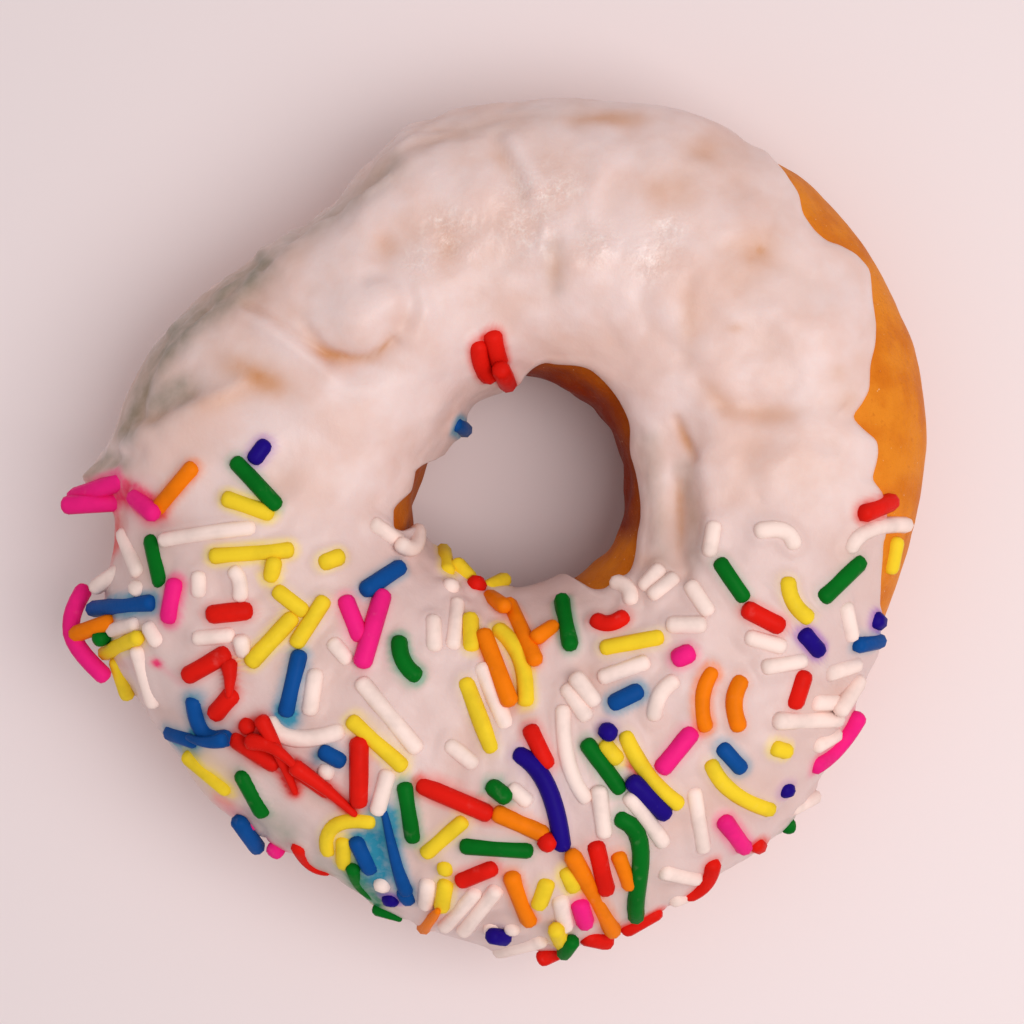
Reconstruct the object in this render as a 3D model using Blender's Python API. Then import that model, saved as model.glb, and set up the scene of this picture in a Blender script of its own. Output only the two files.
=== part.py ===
"""A frosted ring doughnut with sprinkles over one half.

Two pieces lie on each other: the fried dough ring, which rests on a flattened band of its
underside, and the poured icing, a skin of uneven outline that caps the ring and turns down
into its hole. The sprinkles are set in the icing, so they are one solid with it.
The origin is the middle of the whole thing on the surface it stands on, +Z is up.
"""

import math
import random

import bmesh
import bpy
import numpy as np
from mathutils import Matrix, Vector

MM = 0.001

# The ring as seen from above: dough radii every 15 degrees, anticlockwise from +X.
RING_CENTRE = (1.9 * MM, 0.4 * MM)
RING_RADII = (
    42.5, 45.3, 47.3, 48.1, 46.8, 45.3, 43.5, 41.9, 39.0, 39.7, 41.9, 43.2,
    40.9, 42.8, 41.6, 40.8, 40.1, 41.3, 42.9, 42.4, 41.0, 40.9, 39.5, 40.8,
)

# The hole sits off the middle. Its radii are every 30 degrees.
HOLE_CENTRE = (2.6 * MM, 5.8 * MM)
HOLE_RADII = (10.9, 10.8, 10.8, 11.2, 11.1, 10.0, 11.0, 13.2, 12.7, 13.0, 12.6, 11.8)

# The dough's section: a plump oval, widest at WIDEST_Z, cut flat where it rests.
WIDEST_Z = 12.5 * MM
RISE = 13.3 * MM
DROP = 13.3 * MM
PLUMPNESS = 2.3
TALLER_SIDE_BEARING = 255.0
TALLER_SIDE_EXTRA = 0.9 * MM

# Broad swells and dents of the top: place in mm, half length and half width, heading, height.
SWELLS = (
    (-12.5, 21.5, 5.0, 4.6, 0.0, 0.9),
    (-14.5, 17.2, 5.0, 1.9, -13.0, -0.9),
    (-32.6, 14.9, 5.0, 2.4, 45.0, -1.1),
    (-29.8, 12.2, 5.5, 2.0, 35.0, 0.8),
    (-11.0, 28.5, 2.8, 2.4, 0.0, -0.5),
    (-4.5, 28.5, 2.8, 2.4, 0.0, -0.4),
    (2.0, 35.5, 4.0, 1.8, -63.0, -0.6),
    (12.5, 41.5, 7.0, 1.8, -8.0, -0.5),
    (18.6, 4.4, 8.0, 1.9, 88.0, -0.9),
    (15.4, 4.4, 8.0, 1.9, 88.0, 0.5),
    (22.0, 5.0, 8.0, 2.2, 88.0, 0.4),
    (26.0, 13.0, 6.5, 3.0, 15.0, -0.6),
    (31.0, 21.0, 6.0, 5.0, 40.0, 0.6),
    (-4.0, -18.5, 9.0, 5.0, 10.0, -0.5),
)

# The swells fade out as the section turns down, sooner for a lower number.
SWELL_REACH = 1.3

# The icing skin: it reaches down to these section angles, in waves of this count and depth.
ICING_GAP = 0.35 * MM
ICING_THICKNESS = 1.15 * MM
ICING_LIP_BLUNTNESS = 0.35
ICING_OUTER_LOW = -12.0
ICING_OUTER_WAVES = ((5, 3.0), (11, 2.0))
ICING_INNER_LOW = 190.0
ICING_INNER_WAVES = ((4, 3.0),)

# One side of the crust stays bare: where its arc starts and ends, and over how many degrees the
# icing's edge rises there. Notches run up from it: bearing, half width and rise of the section.
BARE_SIDE = (-22.0, 56.0, 26.0, 15.0)
BARE_SIDE_LIFT = 52.0
BARE_SIDE_NOTCHES = (
    (18.5, 10.0, 24.0),
    (18.8, 1.8, 6.0),
    (9.0, 3.5, 8.0),
    (3.0, 6.0, 9.0),
    (31.0, 4.0, 5.0),
    (46.0, 4.0, 10.0),
)

# Two arcs of the hole's wall stay bare too, one of them deeper in its middle.
BARE_HOLE_ARCS = (
    (-65.0, 93.0, 20.0, 20.0, 36.0),
    (20.0, 70.0, 20.0, 20.0, 7.0),
    (180.0, 206.0, 20.0, 20.0, 36.0),
)

# Drips that bulge from the icing's side: bearing, section angle, half width along and up, height.
ICING_DRIPS = ((173.0, 4.0, 5.0, 24.0, 1.6 * MM), (192.0, 0.0, 6.0, 22.0, 0.8 * MM))

# Sprinkles: six-sided rods. A share of them goes on the outer side, up to a section angle.
SPRINKLE_RADIUS = 1.03 * MM
SPRINKLE_SUNK = 0.6 * MM
SPRINKLE_BLUNT = 0.35 * MM
SPRINKLE_LENGTHS = (3.0 * MM, 8.0 * MM)
SPRINKLE_SIDES = 6
SPRINKLE_COUNT = 118
SPRINKLE_TRIES = 6000
SPRINKLE_SPACE = 2.25 * MM
SPRINKLE_SIDE_SHARE = 0.22
SPRINKLE_SIDE_TOP = 40.0
SPRINKLE_EDGE_MARGIN = 18.0
SPRINKLE_SEED = 11

# They lie in front of this line across the ring, X and Y in mm.
SPRINKLED_LINE_X = (-40.0, -24.0, -12.0, 14.0, 36.0)
SPRINKLED_LINE_Y = (6.3, 8.5, 0.0, -3.0, 3.2)

# Sprinkles that stand out past the rim, their near end deeper in the icing: bearing, section
# angle, heading, tilt out of the icing, length and height over it.
RIM_SPRINKLE_SUNK = 0.75 * MM
RIM_SPRINKLES = (
    (176.0, 24.0, 20.0, 74.0, 6.8 * MM, 0.0),
    (178.5, 12.0, 200.0, 70.0, 6.4 * MM, 0.0),
    (191.0, 4.0, 90.0, 80.0, 4.8 * MM, 0.0),
    (191.0, 4.0, 15.0, 0.0, 8.6 * MM, 2.0 * MM),
    (322.0, 16.0, 6.0, 0.0, 7.0 * MM, 0.2 * MM),
)

RING_STEPS = 64
RING_SECTION_STEPS = 22
ICING_STEPS = 96
ICING_SECTION_STEPS = 26

CRUST_COLOUR = (0.60, 0.25, 0.055, 1.0)
CRUST_ROUGHNESS = 0.5
ICING_COLOUR = (0.84, 0.70, 0.66, 1.0)
ICING_ROUGHNESS = 0.3


def closed_curve(values, bearing):
    """Value at a bearing in degrees, on the smooth closed curve through evenly spaced values."""
    place = (bearing % 360.0) / 360.0 * len(values)
    index = int(place)
    part = place - index
    before, start, end, after = (values[(index + k) % len(values)] for k in (-1, 0, 1, 2))
    bend = 2 * before - 5 * start + 4 * end - after
    twist = 3 * (start - end) + after - before
    return start + 0.5 * part * (end - before + part * (bend + part * twist))


def turn_between(first, second):
    """Degrees from the first direction to the second, the short way round."""
    return (second - first + 180.0) % 360.0 - 180.0


def window(bearing, start, end, start_softness, end_softness):
    """1 between two bearings, 0 outside them, with soft ends."""
    middle, half = (start + end) / 2, (end - start) / 2
    away = turn_between(middle, bearing)
    softness = start_softness if away < 0 else end_softness
    share = min(1.0, max(0.0, (half - abs(away)) / softness + 0.5))
    return share * share * (3 - 2 * share)


def swell(x, y):
    """Height that the broad swells and dents add to the top at a place, in metres."""
    total = 0.0
    for place_x, place_y, along, across, heading, height in SWELLS:
        turn = math.radians(heading)
        right, up = x / MM - place_x, y / MM - place_y
        u = (right * math.cos(turn) + up * math.sin(turn)) / along
        v = (up * math.cos(turn) - right * math.sin(turn)) / across
        total += height * math.exp(-u * u - v * v)
    return total * MM


def doughnut_point(bearing, section, lift=0.0):
    """The point at a bearing and section angle, in degrees, lifted off the dough.

    Section 0 is the outer side, 90 the top, 180 the wall of the hole and -90 the underside.
    The section is a superellipse on the line from the hole's edge to the ring's edge.
    """
    turn, angle = math.radians(bearing), math.radians(section)
    heading = Vector((math.cos(turn), math.sin(turn)))
    inner = Vector(HOLE_CENTRE) + heading * closed_curve(HOLE_RADII, bearing) * MM
    outer = Vector(RING_CENTRE) + heading * closed_curve(RING_RADII, bearing) * MM
    half = (outer - inner) / 2
    taller = 0.5 + 0.5 * math.cos(math.radians(bearing - TALLER_SIDE_BEARING))
    height = RISE + TALLER_SIDE_EXTRA * taller if section % 360.0 <= 180.0 else DROP
    cosine, sine = math.cos(angle), math.sin(angle)
    across = math.copysign(abs(cosine) ** (2 / PLUMPNESS), cosine)
    upward = math.copysign(abs(sine) ** (2 / PLUMPNESS), sine)
    steep = 2 * (PLUMPNESS - 1) / PLUMPNESS
    normal = Vector((
        math.copysign(abs(cosine) ** steep, cosine) / half.length,
        math.copysign(abs(sine) ** steep, sine) / height,
    )).normalized()
    flat = (inner + outer) / 2 + half * across + half.normalized() * normal.x * lift
    z = WIDEST_Z + height * upward + normal.y * lift
    if sine > 0:
        z += swell(flat.x, flat.y) * min(1.0, sine * SWELL_REACH) ** 2
    return Vector((flat.x, flat.y, max(z, 0.0)))


def waves(bearing, counts_and_depths):
    """Sum of sine waves round the ring, each with its number of waves and its depth."""
    return sum(depth * math.sin(count * math.radians(bearing)) for count, depth in counts_and_depths)


def icing_edges(bearing):
    """Section angles at which the icing stops, on the outer side and in the hole."""
    bare = window(bearing, *BARE_SIDE)
    outer = ICING_OUTER_LOW + waves(bearing, ICING_OUTER_WAVES) * (1 - bare)
    outer += BARE_SIDE_LIFT * bare
    for middle, half, rise in BARE_SIDE_NOTCHES:
        outer += rise * math.exp(-((turn_between(middle, bearing) / half) ** 2))
    inner = ICING_INNER_LOW + waves(bearing, ICING_INNER_WAVES)
    for *arc, rise in BARE_HOLE_ARCS:
        inner -= rise * window(bearing, *arc)
    return outer, inner


def icing_point(bearing, section, share=1.0):
    """A point in the icing: share 1 is its outer face and 0 its underside."""
    lift = ICING_GAP + ICING_THICKNESS * share
    for middle, angle, along, up, height in ICING_DRIPS:
        u, v = turn_between(middle, bearing) / along, turn_between(angle, section) / up
        lift += share * height * math.exp(-u * u - v * v)
    return doughnut_point(bearing, section, lift)


def icing_fullness(across):
    """Share of the icing's thickness at a share of the way from its outer lip to its inner one."""
    return abs(math.sin(math.pi * across)) ** ICING_LIP_BLUNTNESS


def torus_object(name, steps, section_steps, place):
    """A torus primitive whose every vertex goes where place(bearing, section) says."""
    bpy.ops.mesh.primitive_torus_add(
        major_segments=steps,
        minor_segments=section_steps,
        major_radius=1.0,
        minor_radius=0.25,
    )
    torus = bpy.context.object
    torus.name = torus.data.name = name
    for vertex in torus.data.vertices:
        x, y, z = vertex.co
        bearing = math.degrees(math.atan2(y, x))
        section = math.degrees(math.atan2(z, math.hypot(x, y) - 1.0))
        vertex.co = place(bearing, section)
    torus.data.shade_smooth()
    return torus


def make_dough_ring():
    """The fried ring: a torus bent to the uneven outline, hole and section."""
    return torus_object("dough_ring", RING_STEPS, RING_SECTION_STEPS, doughnut_point)


def make_icing_skin():
    """The icing: a torus whose section is a crescent over the ring, thin at both lips."""

    def place(bearing, turn):
        outer, inner = icing_edges(bearing)
        across = abs(turn) / 180.0
        share = 0.5 + 0.5 * math.copysign(icing_fullness(across), turn)
        return icing_point(bearing, outer + (inner - outer) * across, share)

    return torus_object("icing", ICING_STEPS, ICING_SECTION_STEPS, place)


def surface_frame(bearing, section):
    """Place on the icing's face, with unit vectors along the ring, up the section and outwards."""
    step = 0.5
    outer, inner = icing_edges(bearing)
    fullness = icing_fullness((section - outer) / (inner - outer))
    here = icing_point(bearing, section, 0.5 + 0.5 * fullness)
    along = (icing_point(bearing + step, section) - icing_point(bearing - step, section)).normalized()
    up = (icing_point(bearing, section + step) - icing_point(bearing, section - step)).normalized()
    return here, along, up, along.cross(up).normalized()


def sprinkle_axis(bearing, section, heading, tilt, length, lift=0.0):
    """Both ends of a sprinkle on the icing, and a direction square to it.

    It lies flat, or with its near end in the icing and tilted out of it.
    """
    here, along, up, out = surface_frame(bearing, section)
    turn, stand = math.radians(heading), math.radians(tilt)
    flat = along * math.cos(turn) + up * math.sin(turn)
    direction = (flat * math.cos(stand) + out * math.sin(stand)).normalized()
    clear = SPRINKLE_RADIUS * math.cos(stand) - SPRINKLE_SUNK + lift
    clear += (length / 2 - RIM_SPRINKLE_SUNK) * math.sin(stand)
    middle = here + out * clear
    square = direction.cross(flat.cross(out)).normalized()
    return middle - direction * length / 2, middle + direction * length / 2, square


def add_sprinkle(start, end, out, collection):
    """A six-sided rod with blunt ends between two points: a stretched UV sphere of three rings."""
    axis = end - start
    half = axis.length / 2
    sphere = bmesh.new()
    bmesh.ops.create_uvsphere(sphere, u_segments=SPRINKLE_SIDES, v_segments=3, radius=1.0)
    for vertex in sphere.verts:
        at_pole = abs(vertex.co.z) > 0.9
        if at_pole:
            vertex.co.z = math.copysign(half, vertex.co.z)
        else:
            across = vertex.co.xy.normalized() * SPRINKLE_RADIUS
            vertex.co = (*across, math.copysign(half - SPRINKLE_BLUNT, vertex.co.z))
    mesh = bpy.data.meshes.new("sprinkle")
    sphere.to_mesh(mesh)
    sphere.free()
    sprinkle = bpy.data.objects.new("sprinkle", mesh)
    forward = axis.normalized()
    side = forward.cross(out).normalized()
    turn = Matrix((side, forward.cross(side), forward)).transposed()
    sprinkle.matrix_world = Matrix.Translation((start + end) / 2) @ turn.to_4x4()
    collection.objects.link(sprinkle)


def between_lines(first, second):
    """Least distance between two short rods, from points along each."""
    shares = np.linspace(0.0, 1.0, 7)[:, None]
    points = [np.array(a) + shares * (np.array(b) - np.array(a)) for a, b in (first, second)]
    return np.linalg.norm(points[0][:, None] - points[1][None], axis=2).min()


def sprinkled(point):
    """Whether the sprinkles reach this place: the half in front of a line across the ring."""
    return point.y / MM < np.interp(point.x / MM, SPRINKLED_LINE_X, SPRINKLED_LINE_Y)


def draw_place(draw):
    """A bearing and section angle, spread evenly as seen from above with some more on the outer side."""
    bearing = draw.uniform(0.0, 360.0)
    outer, inner = icing_edges(bearing)
    if draw.random() < SPRINKLE_SIDE_SHARE:
        section = draw.uniform(outer, SPRINKLE_SIDE_TOP)
    else:
        across = draw.uniform(-1.0, 1.0)
        section = math.degrees(math.acos(math.copysign(abs(across) ** (PLUMPNESS / 2), across)))
    return bearing, min(max(section, outer + SPRINKLE_EDGE_MARGIN), inner - SPRINKLE_EDGE_MARGIN)


def scatter_sprinkles(collection):
    """Sprinkles spread over their half of the icing, the longest first, none nearer than a set space."""
    draw = random.Random(SPRINKLE_SEED)
    placed = []
    for values in RIM_SPRINKLES:
        start, end, out = sprinkle_axis(*values)
        placed.append((start, end))
        add_sprinkle(start, end, out, collection)
    shortest, longest = SPRINKLE_LENGTHS
    for attempt in range(SPRINKLE_TRIES):
        length = longest + (shortest - longest) * attempt / SPRINKLE_TRIES
        bearing, section = draw_place(draw)
        heading = draw.uniform(0.0, 180.0)
        reach = math.hypot(*(icing_point(bearing, section).xy - Vector(HOLE_CENTRE)))
        if draw.random() * max(RING_RADII) * MM > reach:
            continue
        start, end, out = sprinkle_axis(bearing, section, heading, 0.0, length)
        if not (sprinkled(start) and sprinkled(end)):
            continue
        if any(between_lines((start, end), other) < SPRINKLE_SPACE for other in placed):
            continue
        placed.append((start, end))
        add_sprinkle(start, end, out, collection)
        if len(placed) == SPRINKLE_COUNT:
            break


def fuse_sprinkles(icing, collection):
    """Joins all sprinkles to the icing in one Boolean union, applies it and removes them."""
    union = icing.modifiers.new("sprinkles", "BOOLEAN")
    union.operation = "UNION"
    union.operand_type = "COLLECTION"
    union.collection = collection
    union.solver = "MANIFOLD"
    bpy.context.view_layer.objects.active = icing
    bpy.ops.object.modifier_apply(modifier=union.name)
    for sprinkle in list(collection.objects):
        bpy.data.objects.remove(sprinkle)
    bpy.data.collections.remove(collection)


def finish(name, colour, roughness):
    """A Principled material of one plain food finish."""
    material = bpy.data.materials.new(name)
    material.use_nodes = True
    shader = material.node_tree.nodes["Principled BSDF"]
    shader.inputs["Base Color"].default_value = colour
    shader.inputs["Roughness"].default_value = roughness
    shader.inputs["Metallic"].default_value = 0.0
    return material


def new_collection(name):
    collection = bpy.data.collections.new(name)
    bpy.context.scene.collection.children.link(collection)
    return collection


def build():
    for old in list(bpy.data.objects):
        bpy.data.objects.remove(old)
    doughnut = new_collection("doughnut")
    sprinkles = new_collection("sprinkles")

    ring = make_dough_ring()
    ring.data.materials.append(finish("fried_crust", CRUST_COLOUR, CRUST_ROUGHNESS))

    icing = make_icing_skin()
    scatter_sprinkles(sprinkles)
    fuse_sprinkles(icing, sprinkles)
    icing.data.materials.clear()
    icing.data.materials.append(finish("white_icing", ICING_COLOUR, ICING_ROUGHNESS))

    for piece in (ring, icing):
        for holder in list(piece.users_collection):
            holder.objects.unlink(piece)
        doughnut.objects.link(piece)


build()
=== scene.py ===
"""The looks of a frosted ring doughnut with sprinkles over one half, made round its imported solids.

Every surface is worked out with numpy in the solids' own frame: +Z up, the origin in the middle
of the doughnut on the surface it rests on. Places given in pixels are of the photograph's
1024 x 1024 frame, as a camera straight above sees them.
"""

import math

import bpy
import numpy as np
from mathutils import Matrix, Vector
from mathutils.bvhtree import BVHTree


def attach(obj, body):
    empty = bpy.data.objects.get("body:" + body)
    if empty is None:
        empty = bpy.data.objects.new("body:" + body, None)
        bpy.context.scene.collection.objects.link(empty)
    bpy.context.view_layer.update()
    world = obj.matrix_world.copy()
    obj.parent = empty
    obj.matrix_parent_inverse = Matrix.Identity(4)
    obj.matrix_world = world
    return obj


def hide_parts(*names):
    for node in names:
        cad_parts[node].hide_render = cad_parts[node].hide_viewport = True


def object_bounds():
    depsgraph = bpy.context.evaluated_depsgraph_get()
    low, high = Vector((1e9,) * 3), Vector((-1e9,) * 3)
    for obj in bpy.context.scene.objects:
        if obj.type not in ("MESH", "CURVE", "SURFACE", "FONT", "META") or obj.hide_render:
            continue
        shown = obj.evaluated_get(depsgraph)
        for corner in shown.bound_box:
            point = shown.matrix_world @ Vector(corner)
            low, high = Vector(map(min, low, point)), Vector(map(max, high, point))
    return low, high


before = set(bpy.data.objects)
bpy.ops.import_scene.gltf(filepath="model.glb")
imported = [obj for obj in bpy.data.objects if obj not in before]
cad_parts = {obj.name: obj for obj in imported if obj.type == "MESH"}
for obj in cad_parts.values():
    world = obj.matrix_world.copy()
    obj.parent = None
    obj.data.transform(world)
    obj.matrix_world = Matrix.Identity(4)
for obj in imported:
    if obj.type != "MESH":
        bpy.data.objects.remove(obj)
cad_low, cad_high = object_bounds()

# Fried dough ring
# A hand-sized ring of yeast dough, proved, then fried on both sides. Its crust is golden on the sides,
# browner underneath and in the hole, where painted shade darkens it too, less on two arcs of the hole
# wall that carry painted light, with a paler band where it floated in the fat.

MM = 0.001
RING_CENTRE = (1.9, 0.4)
RING_RADII = (
    42.4, 45.3, 46.9, 48.2, 47.6, 45.3, 44.1, 43.4, 39.0, 39.7, 41.9, 43.2,
    40.9, 42.8, 41.6, 40.8, 40.1, 41.3, 42.9, 42.4, 41.0, 40.9, 39.5, 40.4,
)
HOLE_CENTRE = (2.6, 5.8)
HOLE_RADII = (11.1, 11.0, 10.8, 11.1, 10.9, 9.4, 10.8, 13.2, 12.7, 13.0, 12.1, 12.2)
WIDEST_Z = 12.5
RISE = 13.3
DROP = 13.3
PLUMPNESS = 2.3
TALLER_SIDE_BEARING = 255.0
TALLER_SIDE_EXTRA = 0.9

# Broad swells and dents of the top: place in mm, half length and half width, heading, height.
SWELLS = (
    (-12.5, 21.5, 5.0, 4.6, 0.0, 0.9),
    (-14.5, 17.2, 5.0, 1.9, -13.0, -0.9),
    (-32.6, 14.9, 5.0, 2.4, 45.0, -1.1),
    (-29.8, 12.2, 5.5, 2.0, 35.0, 0.8),
    (-11.0, 28.5, 2.8, 2.4, 0.0, -0.5),
    (-4.5, 28.5, 2.8, 2.4, 0.0, -0.4),
    (2.0, 35.5, 4.0, 1.8, -63.0, -0.6),
    (12.5, 41.5, 7.0, 1.8, -8.0, -0.5),
    (18.6, 4.4, 8.0, 1.9, 88.0, -0.9),
    (15.4, 4.4, 8.0, 1.9, 88.0, 0.5),
    (22.0, 5.0, 8.0, 2.2, 88.0, 0.4),
    (26.0, 13.0, 6.5, 3.0, 15.0, -0.6),
    (31.0, 21.0, 6.0, 5.0, 40.0, 0.6),
    (-4.0, -18.5, 9.0, 5.0, 10.0, -0.5),
)
SWELL_REACH = 1.3

CRUST_STEPS = 400
CRUST_SECTION_STEPS = 224
# Relief of the crust: wavelength and height in mm.
CRUST_LUMPS = ((15.0, 0.16), (6.5, 0.09), (2.6, 0.03))
CRUST_HOLE_LUMPS = (4.2, 0.20)
FLAT_BASE_FADE = 1.2
# Each noise adds up this many waves, their lengths between two shares of the one asked for.
NOISE_WAVES = 30
NOISE_SPREAD = (0.75, 1.35)
NOISE_HEIGHT = 0.6
# Where the crust fried browner or paler round its section, the hole wall also painted darker as shade:
# the middle angle and the half width.
HOLE_WALL = (180.0, 42.0)
UNDERSIDE = (-95.0, 55.0)
PALE_BAND = (-15.0, 8.0)
UNDERSIDE_BROWN = 0.45
# Arcs of the hole wall with painted light, where its brown and painted shade are cut back: start and
# end, the softness of each end, and how much they are cut back.
LIT_HOLE_ARCS = ((-64.0, -28.0, 16.0, 12.0, 0.75), (168.0, 210.0, 12.0, 12.0, 0.35))
# The pale band comes and goes: its wavelength in mm, its mean strength and how far that swings.
BAND_WANDER = (11.0, 0.75, 0.5)


def closed_curve(values, bearing):
    """The smooth closed curve through evenly spaced values, read at bearings in degrees: a cubic
    between two values whose slopes are half the step between their outer neighbours."""
    values = np.asarray(values)
    place = (bearing % 360.0) / 360.0 * len(values)
    index = np.floor(place).astype(int)
    part = place - index
    before, start, end, after = (values[(index + k) % len(values)] for k in (-1, 0, 1, 2))
    bend = 2 * before - 5 * start + 4 * end - after
    twist = 3 * (start - end) + after - before
    return start + 0.5 * part * (end - before + part * (bend + part * twist))


def turn_between(first, second):
    """Degrees from the first bearing to the second, the short way round."""
    return (second - first + 180.0) % 360.0 - 180.0


def smooth_step(share):
    """3 * share^2 - 2 * share^3, which rises from 0 to 1 and is level at both."""
    return share * share * (3 - 2 * share)


def window(bearing, start, end, start_softness, end_softness):
    """1 between two bearings and 0 outside them, a smooth step over each softness."""
    away = turn_between((start + end) / 2, bearing)
    softness = np.where(away < 0, start_softness, end_softness)
    return smooth_step(np.clip(((end - start) / 2 - np.abs(away)) / softness + 0.5, 0.0, 1.0))


def bell(gap, half_width):
    """exp(-(gap / half_width)^2): 1 where there is no gap, and less on both sides."""
    return np.exp(-((gap / half_width) ** 2))


def section_bell(section, middle, half_width):
    """The bell of the turn from a middle section angle, in degrees."""
    return bell(turn_between(middle, section), half_width)


def swell_height(x, y):
    """Sum of oval bells, each height * exp(-(along / length)^2 - (across / width)^2), in mm."""
    total = np.zeros_like(x)
    for place_x, place_y, along, across, heading, height in SWELLS:
        turn = math.radians(heading)
        u = ((x - place_x) * math.cos(turn) + (y - place_y) * math.sin(turn)) / along
        v = ((y - place_y) * math.cos(turn) - (x - place_x) * math.sin(turn)) / across
        total += height * np.exp(-u * u - v * v)
    return total


def signed_power(values, power):
    """The size of each value raised to a power, with the value's own sign."""
    return np.copysign(np.abs(values) ** power, values)


def doughnut_surface(bearing, section, lift=0.0):
    """Points of the ring, in mm, at bearings and section angles in degrees, lifted off the dough.

    On each bearing the section is a superellipse on the line from the hole's edge to the ring's
    edge: section 0 is the outer side, 90 the top, 180 the wall of the hole, -90 the underside.
    The lift goes along the superellipse's own normal, and the top carries the broad swells.
    """
    bearing, section, lift = np.broadcast_arrays(bearing, section, lift)
    turn, angle = np.radians(bearing), np.radians(section)
    heading = np.stack([np.cos(turn), np.sin(turn)], axis=-1)
    inner = HOLE_CENTRE + heading * closed_curve(HOLE_RADII, bearing)[..., None]
    outer = RING_CENTRE + heading * closed_curve(RING_RADII, bearing)[..., None]
    half = (outer - inner) / 2
    width = np.linalg.norm(half, axis=-1)
    taller = 0.5 + 0.5 * np.cos(np.radians(bearing - TALLER_SIDE_BEARING))
    height = np.where(section % 360.0 <= 180.0, RISE + TALLER_SIDE_EXTRA * taller, DROP)
    steep = 2 * (PLUMPNESS - 1) / PLUMPNESS
    normal_out = signed_power(np.cos(angle), steep) / width
    normal_up = signed_power(np.sin(angle), steep) / height
    length = np.hypot(normal_out, normal_up)
    across = width * signed_power(np.cos(angle), 2 / PLUMPNESS) + normal_out / length * lift
    flat = (inner + outer) / 2 + half / width[..., None] * across[..., None]
    z = WIDEST_Z + height * signed_power(np.sin(angle), 2 / PLUMPNESS) + normal_up / length * lift
    reach = np.clip(np.sin(angle) * SWELL_REACH, 0.0, 1.0) ** 2
    z = z + swell_height(flat[..., 0], flat[..., 1]) * reach
    return np.concatenate([flat, np.maximum(z, 0.0)[..., None]], axis=-1)


def soft_noise(points, wavelength, seed):
    """Uneven waves from about -1 to 1: the sum of cosines that run in random directions, times
    sqrt(2 / how many there are), so that their number doesn't change its height."""
    draw = np.random.default_rng(seed)
    ways = draw.normal(size=(NOISE_WAVES, 3))
    ways /= np.linalg.norm(ways, axis=1, keepdims=True)
    ways *= 2 * math.pi / (wavelength * draw.uniform(*NOISE_SPREAD, NOISE_WAVES))[:, None]
    phases = draw.uniform(0.0, 2 * math.pi, NOISE_WAVES)
    cosines = np.cos(points @ ways.T + phases)
    return cosines.sum(axis=-1) * NOISE_HEIGHT * math.sqrt(2 / NOISE_WAVES)


def lumps(points, lengths_and_heights, seed):
    """Relief in mm: height * noise added up over the wavelengths, each with a seed of its own."""
    relief = np.zeros(points.shape[:-1])
    for number, (wavelength, height) in enumerate(lengths_and_heights):
        relief += height * soft_noise(points, wavelength, seed + number)
    return relief


def grid_normals(points):
    """Outward unit normals of a grid that closes on itself both ways: the cross product of the
    steps between each point's neighbours."""
    along = np.roll(points, -1, axis=0) - np.roll(points, 1, axis=0)
    up = np.roll(points, -1, axis=1) - np.roll(points, 1, axis=1)
    normal = np.cross(along, up)
    return normal / np.maximum(np.linalg.norm(normal, axis=-1, keepdims=True), 1e-9)


def inside_solids(points, room=0.0):
    """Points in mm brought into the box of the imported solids, less some room on every side."""
    return np.clip(points, np.array(cad_low) / MM + room, np.array(cad_high) / MM - room)


def mesh_piece(name, points, faces):
    """A smooth mesh object from points in mm and an array of faces with equal numbers of corners."""
    corners = faces.shape[1]
    mesh = bpy.data.meshes.new(name)
    mesh.vertices.add(len(points))
    mesh.vertices.foreach_set("co", (points * MM).astype(np.float32).ravel())
    mesh.loops.add(faces.size)
    mesh.loops.foreach_set("vertex_index", faces.astype(np.int32).ravel())
    mesh.polygons.add(len(faces))
    mesh.polygons.foreach_set("loop_start", np.arange(len(faces), dtype=np.int32) * corners)
    mesh.update(calc_edges=True)
    mesh.validate()
    mesh.shade_smooth()
    piece = bpy.data.objects.new(name, mesh)
    bpy.context.scene.collection.objects.link(piece)
    return piece


def ring_quads(rows, columns):
    """Quads of a grid that closes on itself both ways, wound so that they face outwards."""
    index = np.arange(rows * columns).reshape(rows, columns)
    right = np.roll(index, -1, axis=0)
    return np.stack([index, right, np.roll(right, -1, axis=1), np.roll(index, -1, axis=1)], -1)


def set_attribute(piece, name, values, kind="FLOAT", field="value"):
    """Gives each vertex of a piece a value, or a colour, that its material reads by name."""
    attribute = piece.data.attributes.get(name) or piece.data.attributes.new(name, kind, "POINT")
    attribute.data.foreach_set(field, np.asarray(values, dtype=np.float32).ravel())


def seen_colour(red, green, blue):
    """A shader's colour from the 0 to 255 values that it should show under even light."""
    shares = np.array([red, green, blue]) / 255
    linear = np.where(shares <= 0.04045, shares / 12.92, ((shares + 0.055) / 1.055) ** 2.4)
    return (*(float(v) for v in linear), 1.0)


class Value:
    """A number that a shader works out: Python's signs on it add Math nodes."""

    def __init__(self, finish, socket):
        self.finish = finish
        self.socket = socket

    def math(self, operation, first, second, clamp=False):
        settings = {"operation": operation, "use_clamp": clamp}
        return self.finish.node("ShaderNodeMath", settings, {0: first, 1: second})

    def __add__(self, other):
        return self.math("ADD", self, other)

    def __radd__(self, other):
        return self.math("ADD", other, self)

    def __sub__(self, other):
        return self.math("SUBTRACT", self, other)

    def __rsub__(self, other):
        return self.math("SUBTRACT", other, self)

    def __mul__(self, other):
        return self.math("MULTIPLY", self, other)

    def __rmul__(self, other):
        return self.math("MULTIPLY", other, self)

    def clamped(self):
        return self.math("ADD", self, 0.0, clamp=True)

    def distance_from(self, other):
        return self.math("ABSOLUTE", self - other, 0.0)


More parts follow.
